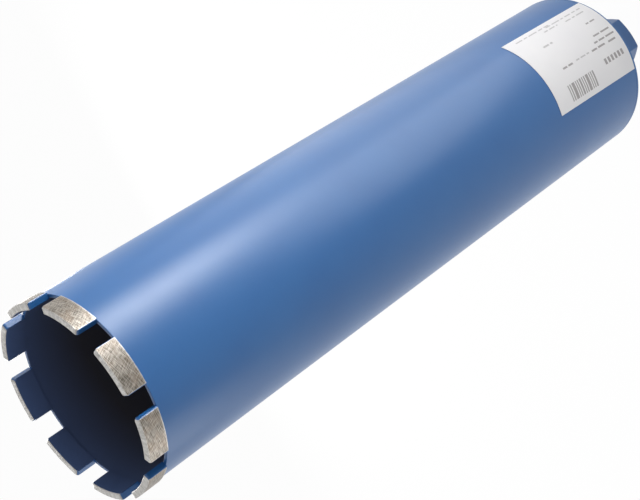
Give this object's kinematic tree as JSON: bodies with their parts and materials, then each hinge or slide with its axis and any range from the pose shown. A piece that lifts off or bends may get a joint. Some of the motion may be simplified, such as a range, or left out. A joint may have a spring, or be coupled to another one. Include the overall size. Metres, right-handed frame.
{
  "type": "diamond core bit",
  "caption": "Diamond core bit: thin steel barrel with curved diamond segments round its open rim, closed by an end plate with a hexagonal hub threaded for a drill spindle.",
  "frame": {"origin": "centre of the hub's end face, on the axis; the bit stands on that face", "axes": "+Z along the axis from the hub to the cutting tips; the first segment lies towards -Y, and two of the hexagon's corners lie on the X axis"},
  "size_m": [0.112, 0.1116, 0.506],
  "materials": {
    "blue_paint": "satin",
    "segment_metal": "satin",
    "label_paper": "matte"
  },
  "bodies": {
    "root": {"barrel": "blue_paint", "end_plate": "blue_paint", "threaded_hub": "blue_paint", "hub_weld": "blue_paint", "segment_1": "segment_metal", "segment_2": "segment_metal", "segment_3": "segment_metal", "segment_4": "segment_metal", "segment_5": "segment_metal", "segment_6": "segment_metal", "segment_7": "segment_metal", "segment_8": "segment_metal", "segment_9": "segment_metal", "label": "label_paper"}
  },
  "joints": []
}
